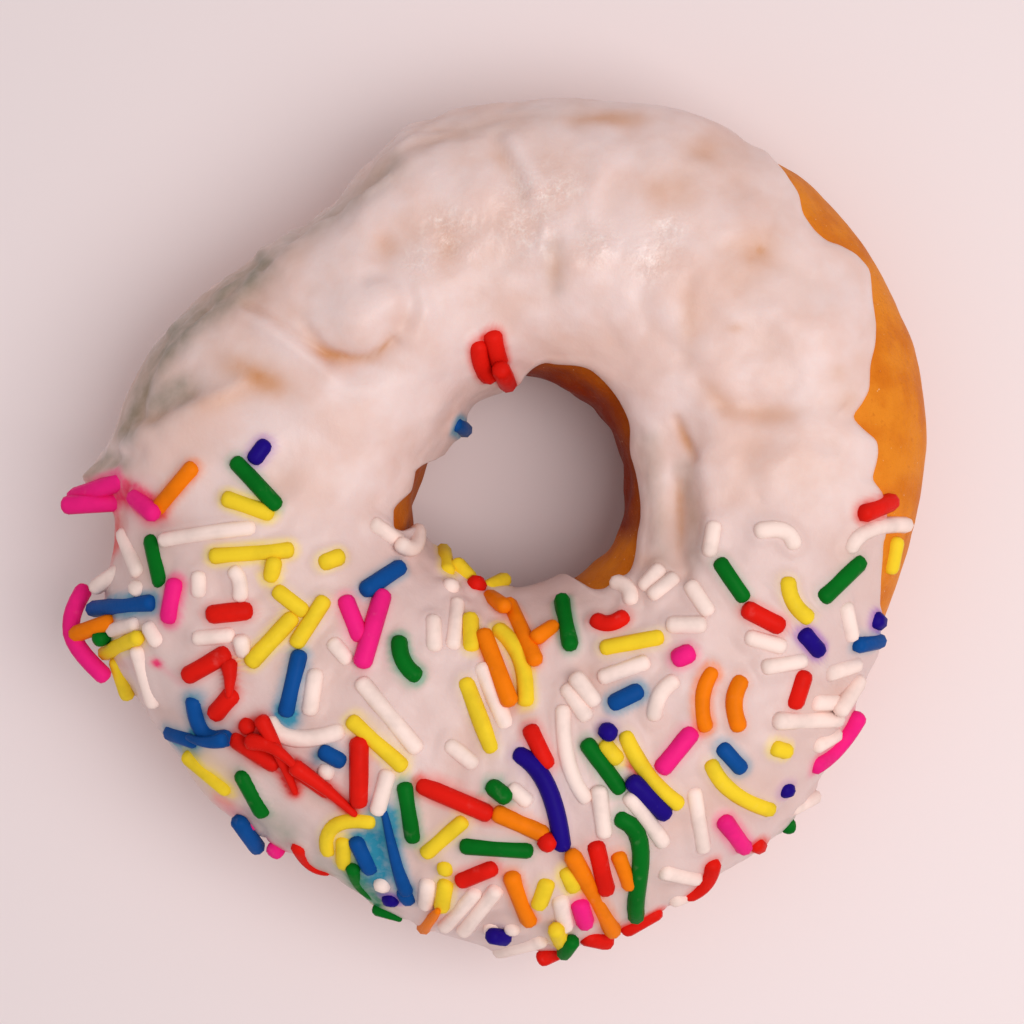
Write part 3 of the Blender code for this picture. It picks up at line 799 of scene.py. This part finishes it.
# Centre lines in pixels, from the middle of one round end to the middle of the other.
SPRINKLES = {
    "white": (
        ((165, 540), (208, 533), (250, 528)), ((124, 535), (131, 553), (138, 571)),
        ((136, 588), (139, 589)), ((96, 587), (118, 572)), ((199, 577), (199, 592)),
        ((235, 572), (240, 582), (240, 596)), ((199, 638), (229, 635)), ((241, 641), (243, 651)),
        ((113, 630), (135, 625)), ((138, 652), (153, 702)), ((150, 628), (157, 640)),
        ((315, 675), (310, 709)), ((271, 723), (294, 738), (338, 732)), ((325, 771), (328, 772)),
        ((387, 775), (378, 809)), ((334, 644), (346, 658)), ((363, 684), (415, 747)),
        ((433, 621), (434, 646)), ((457, 604), (453, 644)), ((449, 587), (452, 587)),
        ((482, 669), (505, 723)), ((451, 746), (472, 763)), ((514, 790), (526, 800)),
        ((563, 711), (568, 762), (585, 797)), ((568, 690), (585, 715)), ((577, 679), (593, 700)),
        ((599, 792), (604, 832)), ((631, 798), (662, 841)), ((694, 793), (703, 847)),
        ((375, 525), (398, 541)), ((402, 545), (414, 547), (418, 531)),
        ((617, 583), (628, 589), (631, 600)), ((646, 585), (659, 571)), ((654, 594), (673, 579)),
        ((692, 587), (707, 610)), ((673, 625), (700, 625)), ((604, 677), (644, 663)),
        ((654, 715), (660, 695), (673, 682)), ((714, 527), (710, 551)),
        ((761, 531), (783, 531), (793, 543)), ((851, 547), (871, 529), (906, 525)),
        ((751, 638), (780, 646)), ((767, 667), (801, 661)), ((816, 702), (834, 702)),
        ((780, 721), (837, 719)), ((830, 673), (855, 665)), ((845, 608), (851, 635)),
        ((841, 709), (858, 682)), ((818, 745), (835, 735)), ((814, 797), (795, 807)),
        ((474, 893), (445, 926)), ((495, 891), (464, 930)), ((490, 928), (493, 928)),
        ((510, 928), (514, 928)), ((428, 884), (426, 903)), ((381, 884), (384, 884)),
        ((560, 900), (565, 925)), ((500, 950), (540, 940)), ((665, 872), (695, 878)),
        ((675, 899), (684, 896)),
    ),
    "yellow": (
        ((228, 499), (268, 513)), ((215, 556), (288, 550)), ((274, 563), (271, 576)),
        ((279, 592), (302, 610)), ((252, 661), (291, 619)), ((297, 642), (323, 602)),
        ((325, 562), (338, 557)), ((105, 653), (137, 638)), ((117, 663), (127, 694)),
        ((189, 757), (226, 788)), ((353, 722), (401, 765)), ((328, 850), (335, 825), (370, 821)),
        ((344, 842), (344, 863)), ((427, 852), (462, 822)), ((444, 868), (447, 868)),
        ((446, 884), (442, 906)), ((470, 619), (471, 646)), ((499, 631), (520, 659), (526, 700)),
        ((466, 684), (491, 747)), ((443, 551), (447, 571)), ((457, 565), (469, 578)),
        ((488, 588), (504, 580)), ((606, 648), (658, 638)), ((606, 746), (616, 758)),
        ((626, 737), (647, 773), (677, 803)), ((711, 765), (732, 791), (769, 809)),
        ((776, 748), (786, 751)), ((788, 583), (793, 602), (807, 617)), ((896, 543), (891, 568)),
        ((546, 884), (539, 903)), ((567, 872), (573, 886)), ((556, 930), (562, 943)),
        ((380, 908), (391, 912)),
    ),
    "orange": (
        ((160, 507), (192, 469)), ((76, 634), (110, 622)), ((484, 635), (509, 700)),
        ((509, 604), (535, 659)), ((490, 597), (504, 606)), ((537, 637), (553, 627)),
        ((499, 814), (542, 833)), ((512, 878), (529, 920)), ((573, 857), (613, 931)),
        ((619, 857), (629, 884)), ((711, 673), (702, 698), (705, 726)),
        ((740, 682), (734, 702), (738, 725)),
    ),
    "red": (
        ((493, 337), (499, 362)), ((478, 346), (481, 364), (489, 376)), ((501, 370), (508, 384)),
        ((213, 614), (246, 611)), ((189, 675), (224, 655)), ((216, 713), (231, 696)),
        ((246, 725), (249, 727)), ((237, 740), (273, 763)), ((359, 744), (359, 801)),
        ((294, 767), (327, 790)), ((423, 786), (486, 813)), ((531, 731), (546, 763)),
        ((546, 842), (549, 844)), ((462, 880), (491, 868)), ((596, 847), (606, 889)),
        ((587, 937), (606, 941)), ((543, 958), (556, 952)), ((597, 621), (609, 624), (623, 618)),
        ((749, 610), (778, 625)), ((803, 677), (795, 702)), ((865, 513), (891, 502)),
        ((756, 844), (759, 846)), ((712, 865), (705, 882), (690, 893)),
        ((475, 584), (478, 586)), ((627, 928), (655, 912)),
    ),
    "pink": (
        ((75, 497), (122, 481)), ((68, 505), (118, 502)), ((135, 498), (152, 513)),
        ((175, 585), (169, 617)), ((84, 591), (68, 620), (76, 645), (103, 675)),
        ((346, 602), (359, 635)), ((382, 596), (363, 661)), ((679, 658), (688, 654)),
        ((690, 734), (663, 767)), ((725, 822), (744, 847)), ((816, 765), (837, 747), (857, 719)),
        ((580, 905), (585, 922)), ((247, 821), (250, 824)), ((274, 848), (278, 851)),
    ),
    "green": (
        ((237, 463), (275, 504)), ((152, 541), (161, 581)), ((99, 639), (105, 636)),
        ((243, 776), (262, 811)), ((405, 788), (413, 837)), ((466, 846), (527, 850)),
        ((399, 642), (403, 661), (415, 675)), ((493, 787), (505, 797)), ((562, 600), (570, 644)),
        ((588, 745), (619, 788)), ((621, 819), (640, 845), (638, 884), (636, 916)),
        ((721, 564), (743, 596)), ((825, 596), (859, 563)), ((787, 826), (790, 826)),
        ((572, 942), (564, 953)),
    ),
    "blue": (
        ((93, 609), (150, 603)), ((299, 656), (286, 711)), ((194, 702), (204, 732), (226, 738)),
        ((171, 733), (193, 740)), ((367, 589), (399, 568)), ((325, 752), (340, 760)),
        ((357, 842), (370, 868)), ((239, 822), (257, 847)),
        ((455, 424), (465, 430)), ((615, 703), (637, 692)), ((723, 749), (740, 767)),
        ((859, 645), (879, 641)), ((405, 892), (408, 898)),
    ),
    "purple": (
        ((255, 458), (264, 446)), ((389, 899), (393, 899)), ((520, 755), (547, 786), (562, 845)),
        ((606, 731), (610, 733)), ((634, 783), (664, 813)), ((805, 635), (818, 650)),
        ((785, 790), (788, 790)), ((876, 620), (879, 622)), ((493, 936), (504, 938)),
    ),
}
# Sprinkles that melted to tapered strings: the shares of a whole rod's radius that are left at
# the two ends, and their lines in pixels, each from its thick end.
MELTED_SHARES = (0.90, 0.42)
MELTED = {
    "orange": (((424, 927), (437, 912)),),
    "red": (
        ((262, 721), (278, 752), (294, 790)), ((296, 768), (324, 788), (352, 812)),
        ((229, 665), (230, 678), (229, 692)), ((252, 742), (272, 748), (292, 766)),
        ((299, 847), (310, 864), (325, 872)),
    ),
    "green": (((353, 869), (360, 886), (372, 897)), ((378, 909), (397, 918))),
    "blue": (((406, 890), (396, 862), (385, 815)), ((222, 740), (206, 742), (190, 738))),
}
SPRINKLE_COLOURS = {
    "white": seen_colour(252, 223, 213),
    "yellow": seen_colour(245, 206, 45),
    "orange": seen_colour(246, 124, 12),
    "red": seen_colour(226, 28, 18),
    "pink": seen_colour(244, 34, 128),
    "green": seen_colour(6, 106, 28),
    "blue": seen_colour(16, 76, 146),
    "purple": seen_colour(32, 12, 122),
}
# The dye that each colour lets into the wet icing: its colour, reach in mm and strength.
DYES = {
    "yellow": (seen_colour(243, 210, 110), 0.40, 0.65),
    "orange": (seen_colour(240, 126, 64), 0.40, 0.80),
    "red": (seen_colour(228, 78, 68), 0.42, 0.80),
    "pink": (seen_colour(240, 96, 140), 0.45, 0.75),
    "green": (seen_colour(96, 160, 128), 0.42, 0.65),
    "blue": (seen_colour(60, 144, 172), 0.50, 0.75),
    "purple": (seen_colour(160, 84, 180), 0.42, 0.65),
}


def photo_rays(pixels):
    """Unit directions from the camera through pixels, by way of the floor under each."""
    floor_x = (pixels[..., 0] - FRAME_MIDDLE) * PIXEL
    floor_y = (FRAME_MIDDLE - pixels[..., 1]) * PIXEL
    ways = np.stack([floor_x, floor_y, np.full_like(floor_x, -CAMERA[2])], axis=-1)
    return ways / np.linalg.norm(ways, axis=-1, keepdims=True)


def surface_tree(points, quads):
    """A tree of the quads of a grid, to look up where rays meet it."""
    return BVHTree.FromPolygons(points.reshape(-1, 3).tolist(), quads.reshape(-1, 4).tolist())


icing_tree = surface_tree(icing_points, ring_quads(*icing_points.shape[:2]))
crust_tree = surface_tree(crust_points, ring_quads(CRUST_STEPS, CRUST_SECTION_STEPS))

# A centre line is read at this many points. A ray that grazes the surface counts as meeting it at
# the least slope, so that no rod stands far off it.
SAMPLES = 9
LEAST_SLOPE = 0.45
# A ray that misses the doughnut is searched between these heights in mm, in this many steps.
SKIM_HEIGHTS = (24.0, 6.0)
SKIM_STEPS = 19
# Centre lines that cross stay this far apart, where they pass within the second height in mm.
CLEAR_BETWEEN = 1.5
CROSSING_HEIGHT = 2.5


def first_hit(way):
    """Distance along a ray from the camera to the icing or the bare crust, and how squarely it
    meets the surface there, or None."""
    found = [tree.ray_cast(Vector(CAMERA), Vector(way)) for tree in (icing_tree, crust_tree)]
    found = [(distance, abs(normal.dot(Vector(way)))) for _, normal, _, distance in found if normal]
    return min(found) if found else None


def nearest_on_ray(way):
    """Distance along a ray that misses the doughnut to where it passes closest to the icing."""
    highest, lowest = SKIM_HEIGHTS
    steps = np.linspace(CAMERA[2] - highest, CAMERA[2] - lowest, SKIM_STEPS)
    gaps = [icing_tree.find_nearest(Vector(CAMERA + way * step))[3] for step in steps]
    return steps[int(np.argmin(gaps))]


def fitted_line(steps, points, bend, wanted):
    """Points read at the wanted steps off the polynomials that lie nearest to the given points,
    one for each axis, with the bend as their degree."""
    fits = [np.polyfit(steps, points[:, axis], bend) for axis in range(points.shape[1])]
    return np.stack([np.polyval(fit, wanted) for fit in fits], axis=-1)


def sprinkle_line(pixels, placed, radius):
    """Centre line in mm of a sprinkle that lies along pixels: on each ray it is a little off the
    surface, as deep in as the rest. Its distance from the camera is smoothed by a straight line,
    or by a parabola where it bends. One that crosses an earlier sprinkle is raised over it."""
    pixels = np.array(pixels, float)
    bend = len(pixels) - 1
    steps = np.linspace(0.0, 1.0, SAMPLES)
    ways = photo_rays(fitted_line(np.linspace(0.0, 1.0, len(pixels)), pixels, bend, steps))
    hits = [first_hit(way) for way in ways]
    if any(hits):
        known = [k for k, hit in enumerate(hits) if hit]
        hits = [hit or hits[min(known, key=lambda near: abs(near - k))] for k, hit in enumerate(hits)]
    else:
        hits = [(nearest_on_ray(way), 1.0) for way in ways]
    off = radius - SPRINKLE_SUNK * min(radius / SPRINKLE_RADIUS, 1.0)
    depth = np.array([distance - off / max(square, LEAST_SLOPE) for distance, square in hits])
    base = np.polyval(np.polyfit(steps, depth, min(bend, 2)), steps)
    line = CAMERA + ways * base[:, None]
    rise = np.zeros(SAMPLES)
    for other in placed:
        flat_gap = np.linalg.norm(line[:, None, :2] - other[None, :, :2], axis=-1)
        above = np.sqrt(np.clip(CLEAR_BETWEEN**2 - flat_gap**2, 0.0, None))
        wanted = other[None, :, 2] + above - line[:, None, 2]
        height = np.abs(line[:, None, 2] - other[None, :, 2])
        near = (flat_gap < CLEAR_BETWEEN) & (height < CROSSING_HEIGHT)
        rise = np.maximum(rise, np.where(near, wanted, 0.0).max(axis=1))
    if rise.max() > 0:
        rise = np.maximum(np.polyval(np.polyfit(steps, rise, 1), (0.0, 1.0)), 0.0)
        line = CAMERA + ways * (base - np.interp(steps, (0.0, 1.0), rise))[:, None]
    return fitted_line(steps, inside_solids(line, radius * THICKEST), min(bend, 3), steps)


def sprinkle_rod(line, radius, last_radius):
    """Points and faces of a rod with worn round ends along a centre line.

    Its rings stand square to the line, and their radius runs evenly from the first to the last.
    Towards each end it follows the superellipse (1 - (1 - place)^n)^(1 / n) for a roundness n,
    and a single point closes the tip.
    """
    steps = np.linspace(0.0, 1.0, len(line))
    fits = [np.polyfit(steps, line[:, axis], 3) for axis in range(3)]
    length = max(np.linalg.norm(np.diff(line, axis=0), axis=1).sum(), SHORTEST)
    reach = END_LENGTH * radius / length
    places = np.array(END_PLACES)
    worn = (1 - (1 - places) ** END_ROUNDNESS) ** (1 / END_ROUNDNESS)
    bulge = np.linalg.norm(line[len(line) // 2] - (line[0] + line[-1]) / 2)
    rings_between = BENT_RINGS if bulge > LEAST_BULGE else STRAIGHT_RINGS
    middle = np.linspace(0.0, 1.0, rings_between + 2)[1:-1]
    along = np.concatenate([(places - 1) * reach, middle, 1 + (1 - places[::-1]) * reach])
    inside = np.clip(along, 0.0, 1.0)
    thick = np.concatenate([worn, np.ones(len(middle)), worn[::-1]])
    thick = thick * (radius + (last_radius - radius) * inside)
    centre = np.stack([np.polyval(fit, inside) for fit in fits], axis=-1)
    slope = np.stack([np.polyval(np.polyder(fit), inside) for fit in fits], axis=-1)
    size = np.linalg.norm(slope, axis=-1, keepdims=True)
    forward = np.where(size > 1e-6, slope / np.maximum(size, 1e-9), (1.0, 0.0, 0.0))
    centre = centre + forward * ((along - inside) * length)[:, None]
    side = np.cross(forward, (0.0, 0.0, 1.0)) + np.array((1e-6, 0.0, 0.0))
    side /= np.linalg.norm(side, axis=-1, keepdims=True)
    up = np.cross(side, forward)
    angle = np.arange(SPRINKLE_SIDES) / SPRINKLE_SIDES * 2 * math.pi
    ring = side[:, None] * np.cos(angle)[None, :, None] + up[:, None] * np.sin(angle)[None, :, None]
    rings = (centre[:, None] + ring * thick[:, None, None])[1:-1]
    points = np.concatenate([rings.reshape(-1, 3), centre[:1], centre[-1:]])
    index = np.arange(rings.shape[0] * SPRINKLE_SIDES).reshape(-1, SPRINKLE_SIDES)
    turned = np.roll(index, -1, axis=1)
    quads = np.stack([index[:-1], index[1:], turned[1:], turned[:-1]], axis=-1).reshape(-1, 4)
    first, last = len(points) - 2, len(points) - 1
    tips = np.concatenate([
        np.stack([np.full(SPRINKLE_SIDES, first), index[0], turned[0]], axis=-1),
        np.stack([np.full(SPRINKLE_SIDES, last), turned[-1], index[-1]], axis=-1),
    ])
    return points, quads, tips


placed_lines = []
lines_of = {colour: [] for colour in SPRINKLES}
for colour, paths in SPRINKLES.items():
    whole = SPRINKLE_RADIUS * SWOLLEN.get(colour, 1.0)
    for group, shares in ((paths, (1.0, 1.0)), (MELTED.get(colour, ()), MELTED_SHARES)):
        radii = [whole * share for share in shares]
        for path in group:
            line = sprinkle_line(path, placed_lines, sum(radii) / 2)
            placed_lines.append(line)
            lines_of[colour].append((line, radii))

draw = np.random.default_rng(29)
for colour, lines in lines_of.items():
    all_points, all_quads, all_tips = [], [], []
    start = 0
    for line, radii in lines:
        points, quads, tips = sprinkle_rod(line, *(np.array(radii) * draw.uniform(THINNEST, THICKEST)))
        all_points.append(inside_solids(points))
        all_quads.append(quads + start)
        all_tips.append(tips + start)
        start += len(points)
    quads, tips = np.concatenate(all_quads), np.concatenate(all_tips)
    mesh = bpy.data.meshes.new("sprinkles_" + colour)
    mesh.from_pydata((np.concatenate(all_points) * MM).tolist(), [], quads.tolist() + tips.tolist())
    mesh.validate()
    mesh.shade_smooth()
    piece = bpy.data.objects.new("sprinkles_" + colour, mesh)
    bpy.context.scene.collection.objects.link(piece)

    sugar_rod = Finish("sprinkle_" + colour, Specular_IOR_Level=0.04)
    tone = SPRINKLE_COLOURS[colour]
    faded = tuple(part + FADED_SHARE * (pale - part) for part, pale in zip(tone, SET_ICING))
    deeper = tuple(part * DEEPER_SHARE for part in tone[:3]) + (1.0,)
    wear = sugar_rod.patches(1.9, 0.62, 0.82)
    body = sugar_rod.blend(tone, deeper, sugar_rod.patches(3.5, 0.4, 0.7))
    sugar_rod.shade(Base_Color=sugar_rod.blend(body, faded, wear * 0.25))
    sugar_rod.shade(Roughness=sugar_rod.noise(1.2) * 0.2 + 0.34)
    sugar_rod.shade(Normal=sugar_rod.bump(sugar_rod.noise(0.5, 3.0), 0.035))
    piece.data.materials.append(sugar_rod.material)
    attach(piece, "root")

# Icing that climbs the sprinkles, and the dye that runs from them
# While wet, the icing wicked a little way up each sprinkle, and its water drew their dye out:
# a soft halo round most of them, and runs of colour where some of them melted.

WICK_HEIGHT = 0.32
WICK_REACH = 0.6
# A halo is worked out this far past its sprinkle's ends in mm, and halos differ in strength by
# the square of a share between these two.
HALO_RANGE = 5.0
HALO_SHARES = (0.35, 1.1)
RUN_DEPTH = 1.4
MOST_DYE = 0.97

RUN_COLOURS = {
    "red": seen_colour(222, 34, 28),
    "pink": seen_colour(242, 52, 112),
    "blue": seen_colour(22, 128, 156),
    "green": seen_colour(36, 122, 74),
    "yellow": seen_colour(240, 200, 96),
}
# Runs of dye in pixels: colour, the line they follow, half width and strength.
DYE_RUNS = (
    ("red", ((262, 721), (276, 755), (294, 790)), 8.0, 0.98),
    ("red", ((247, 726), (262, 735), (280, 762), (294, 767)), 7.0, 0.95),
    ("red", ((294, 765), (327, 788), (350, 810)), 6.0, 0.95),
    ("red", ((229, 663), (231, 692)), 5.0, 0.85),
    ("red", ((237, 740), (262, 760)), 9.0, 0.60),
    ("red", ((112, 545), (107, 560), (103, 574)), 6.0, 0.85),
    ("red", ((84, 504), (110, 512), (118, 530), (112, 545)), 8.0, 0.75),
    ("red", ((124, 492), (142, 500), (158, 510)), 10.0, 0.60),
    ("red", ((630, 762), (638, 772), (645, 776)), 5.0, 0.80),
    ("pink", ((70, 500), (125, 490), (150, 512)), 12.0, 0.65),
    ("pink", ((156, 662), (158, 664)), 4.0, 0.80),
    ("pink", ((158, 665), (170, 673), (182, 684)), 4.0, 0.12),
    ("blue", ((195, 700), (200, 735), (190, 748), (170, 736)), 11.0, 0.60),
    ("blue", ((286, 713), (290, 720)), 12.0, 0.65),
    ("blue", ((380, 815), (378, 845), (376, 866)), 15.0, 0.85),
    ("blue", ((362, 845), (380, 880)), 10.0, 0.45),
    ("blue", ((384, 870), (380, 892)), 14.0, 0.06),
    ("blue", ((326, 752), (318, 758)), 9.0, 0.45),
    ("green", ((352, 866), (360, 890), (376, 902)), 10.0, 0.75),
    ("green", ((262, 815), (285, 835)), 16.0, 0.22),
    ("green", ((318, 862), (345, 880)), 12.0, 0.18),
    ("yellow", ((200, 765), (228, 790)), 14.0, 0.35),
    ("pink", ((220, 800), (240, 820)), 9.0, 0.35),
)
rise = np.zeros(top_points.shape[:2])
amount = np.zeros(top_points.shape[:2])
tint = np.zeros(top_points.shape)
shown_points = icing_points[:, :rows_on_top]
for colour, lines in lines_of.items():
    dye, reach, strength = DYES.get(colour, (SET_ICING, WICK_REACH, 0.0))
    for line, radii in lines:
        middle, half = line[SAMPLES // 2], np.linalg.norm(line[-1] - line[0]) / 2
        near = np.linalg.norm(shown_points - middle, axis=-1) < half + HALO_RANGE
        gap = np.maximum(line_gap(shown_points[near], line[::2]) - sum(radii) / 2, 0.0)
        rise[near] = np.maximum(rise[near], WICK_HEIGHT * bell(gap, WICK_REACH))
        share = strength * draw.uniform(*HALO_SHARES) ** 2 * bell(gap, reach)
        tint[near] += share[:, None] * dye[:3]
        amount[near] += share
shown_pixels = photo_pixels(shown_points)
for colour, path, half_width, strength in DYE_RUNS:
    share = RUN_DEPTH * strength * bell(line_gap(shown_pixels, path), half_width) * facing_up
    tint += share[..., None] * RUN_COLOURS[colour][:3]
    amount += share
tint /= np.maximum(amount, 1e-6)[..., None]
colours = np.concatenate([tint, np.ones((*amount.shape, 1))], axis=-1)
set_attribute(icing, "dye", over_icing(colours, 1.0), "FLOAT_COLOR", "color")
set_attribute(icing, "dye_amount", over_icing(np.clip(amount, 0.0, MOST_DYE)))
icing_points[:, :rows_on_top] += top_normals * (rise * fullness)[..., None]
icing.data.vertices.foreach_set("co", (icing_points * MM).astype(np.float32).ravel())
icing.data.update()

# Floor, light and camera
# A plain pale table top, a broad soft light from the near right, soft light all round, and a
# camera straight above at the photograph's framing.

FLOOR_HALF = 900.0
floor_corners = np.array([(-1, -1, 0), (1, -1, 0), (1, 1, 0), (-1, 1, 0)]) * FLOOR_HALF
floor = mesh_piece("floor", floor_corners, np.array([[0, 1, 2, 3]]))
table = Finish("pale_table", Roughness=0.7, Base_Color=seen_colour(243, 225, 225))
table.shade(Specular_IOR_Level=0.2)
floor.data.materials.append(table.material)


def soft_light(name, place, size, watts, tone):
    """A square area light at a place in mm, turned to face the middle of the doughnut."""
    lamp = bpy.data.lights.new(name, "AREA")
    lamp.shape = "SQUARE"
    lamp.size = size * MM
    lamp.energy = watts
    lamp.color = tone
    holder = bpy.data.objects.new(name, lamp)
    holder.location = Vector(place) * MM
    aim = Vector((0.0, 0.0, 15.0)) * MM - holder.location
    holder.rotation_euler = aim.to_track_quat("-Z", "Y").to_euler()
    bpy.context.scene.collection.objects.link(holder)


soft_light("key_light", (114.0, -28.0, 285.0), 195.0, 0.475, (1.0, 0.985, 0.965))

world = bpy.data.worlds.new("soft_room")
world.use_nodes = True
world.node_tree.nodes["Background"].inputs["Color"].default_value = (0.95, 0.98, 1.0, 1.0)
world.node_tree.nodes["Background"].inputs["Strength"].default_value = 0.58
bpy.context.scene.world = world

SENSOR = 36.0
camera_data = bpy.data.cameras.new("camera")
camera_data.sensor_width = SENSOR
camera_data.lens = SENSOR * CAMERA[2] / (2 * FRAME_MIDDLE * PIXEL)
camera = bpy.data.objects.new("camera", camera_data)
camera.location = Vector(CAMERA) * MM
bpy.context.scene.collection.objects.link(camera)
bpy.context.scene.camera = camera
bpy.context.scene.view_settings.view_transform = "Standard"
